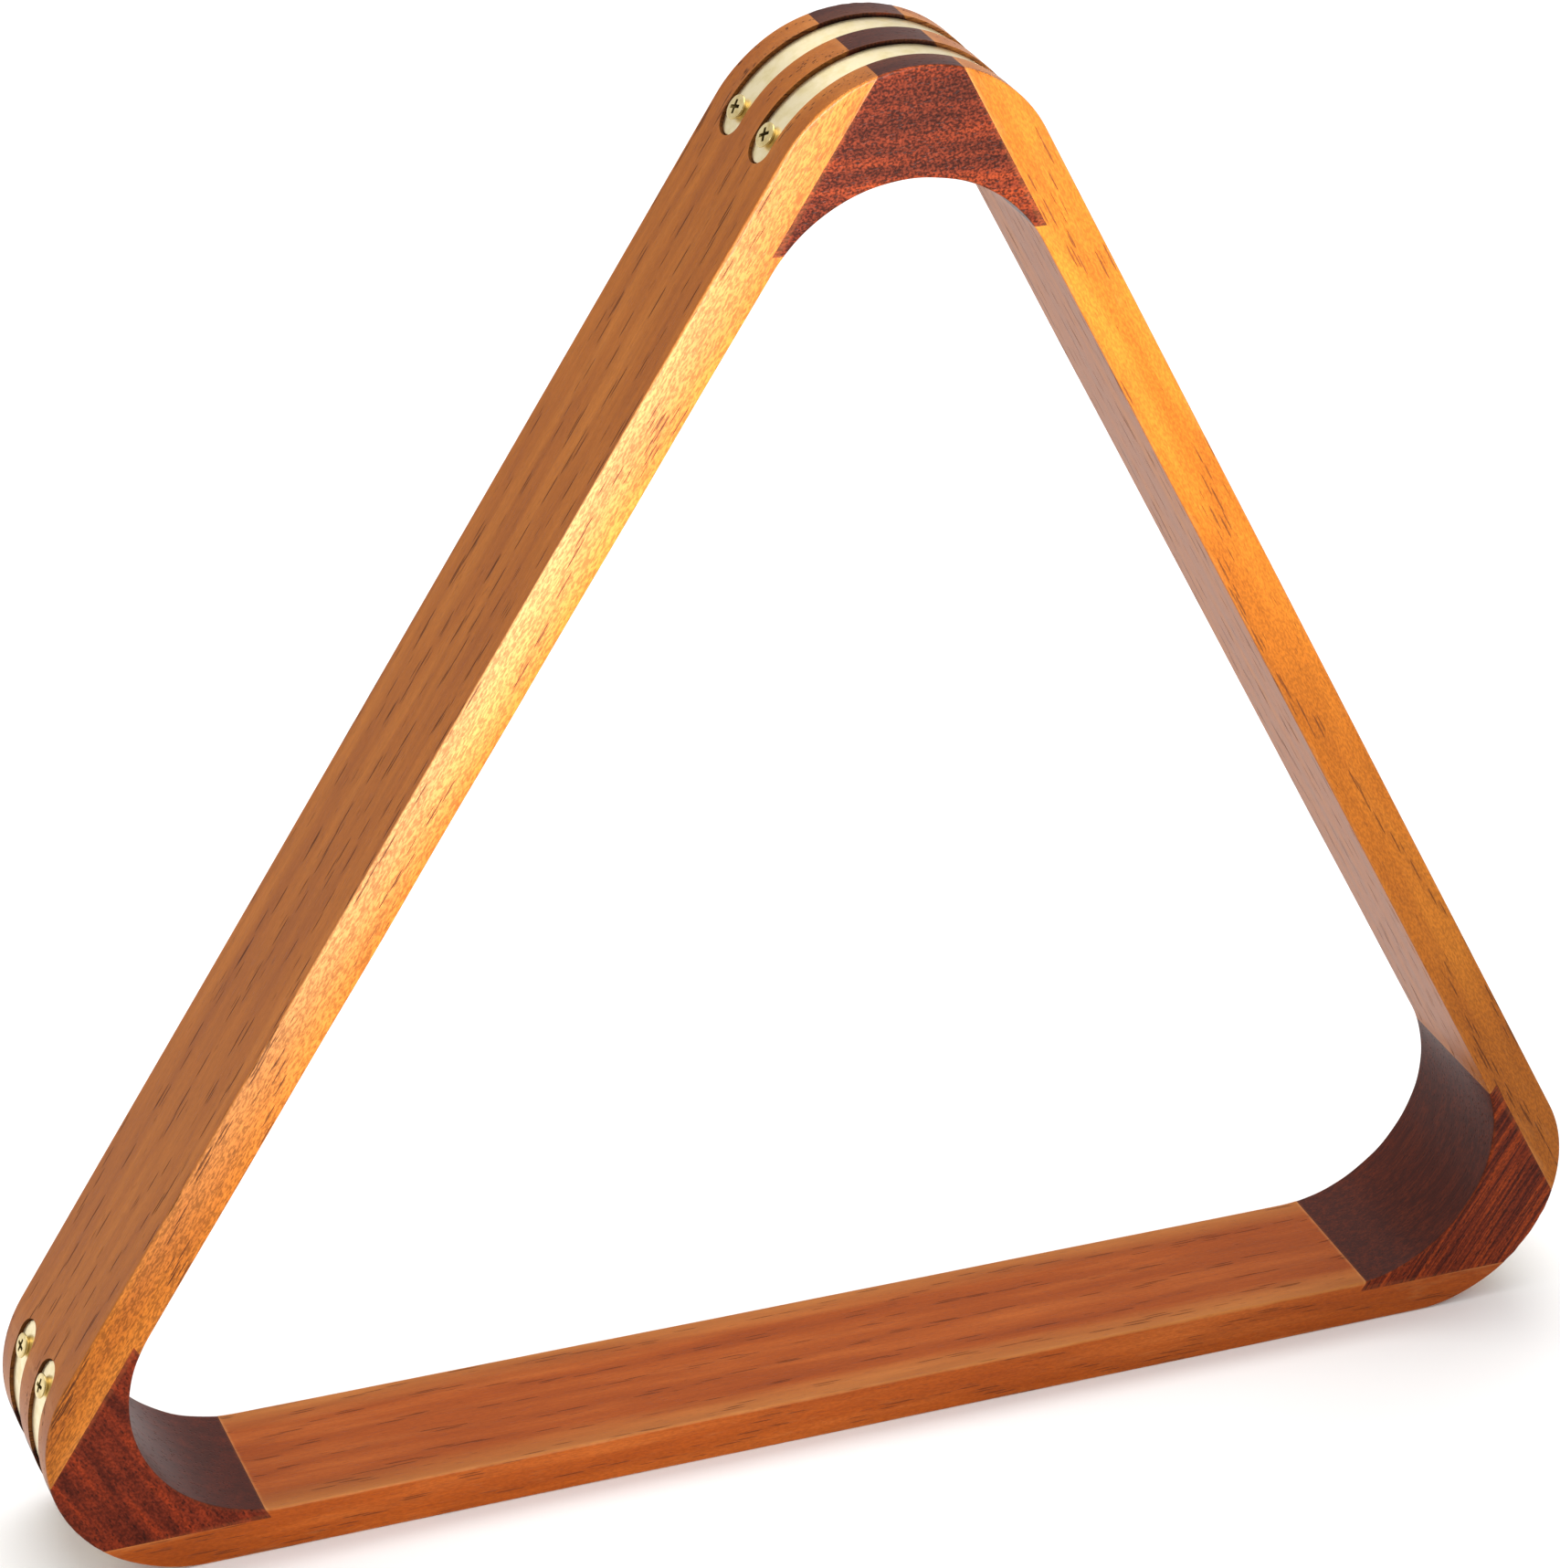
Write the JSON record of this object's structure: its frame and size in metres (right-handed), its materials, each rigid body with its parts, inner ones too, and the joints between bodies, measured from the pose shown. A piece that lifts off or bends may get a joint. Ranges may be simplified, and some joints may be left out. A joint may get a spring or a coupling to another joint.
{
  "type": "triangle rack",
  "caption": "Wooden triangle rack for pool balls: straight rails glued to rounded corner blocks, each corner tied by brass straps let into grooves and screwed down.",
  "frame": {"origin": "middle of the base rail's outer face, which the rack stands on, half way through its depth", "axes": "+Z from the base rail up to the top corner, +X along the base rail, -Y out of the front face"},
  "size_m": [0.319, 0.0316, 0.2864],
  "materials": {
    "rail_hardwood": "stained and satin varnished, open pores",
    "block_mahogany": "dark stained, satin varnished",
    "strap_brass": "flat strip, drawn and lightly worn",
    "screw_brass": "turned, slightly tarnished"
  },
  "bodies": {
    "root": {"base_rail": "rail_hardwood", "left_back_screw_base": "screw_brass", "left_back_screw_left": "screw_brass", "left_back_strap": "strap_brass", "left_block": "block_mahogany", "left_front_screw_base": "screw_brass", "left_front_screw_left": "screw_brass", "left_front_strap": "strap_brass", "left_rail": "rail_hardwood", "right_back_screw_base": "screw_brass", "right_back_screw_right": "screw_brass", "right_back_strap": "strap_brass", "right_block": "block_mahogany", "right_front_screw_base": "screw_brass", "right_front_screw_right": "screw_brass", "right_front_strap": "strap_brass", "right_rail": "rail_hardwood", "top_back_screw_left": "screw_brass", "top_back_screw_right": "screw_brass", "top_back_strap": "strap_brass", "top_block": "block_mahogany", "top_front_screw_left": "screw_brass", "top_front_screw_right": "screw_brass", "top_front_strap": "strap_brass"}
  },
  "joints": []
}
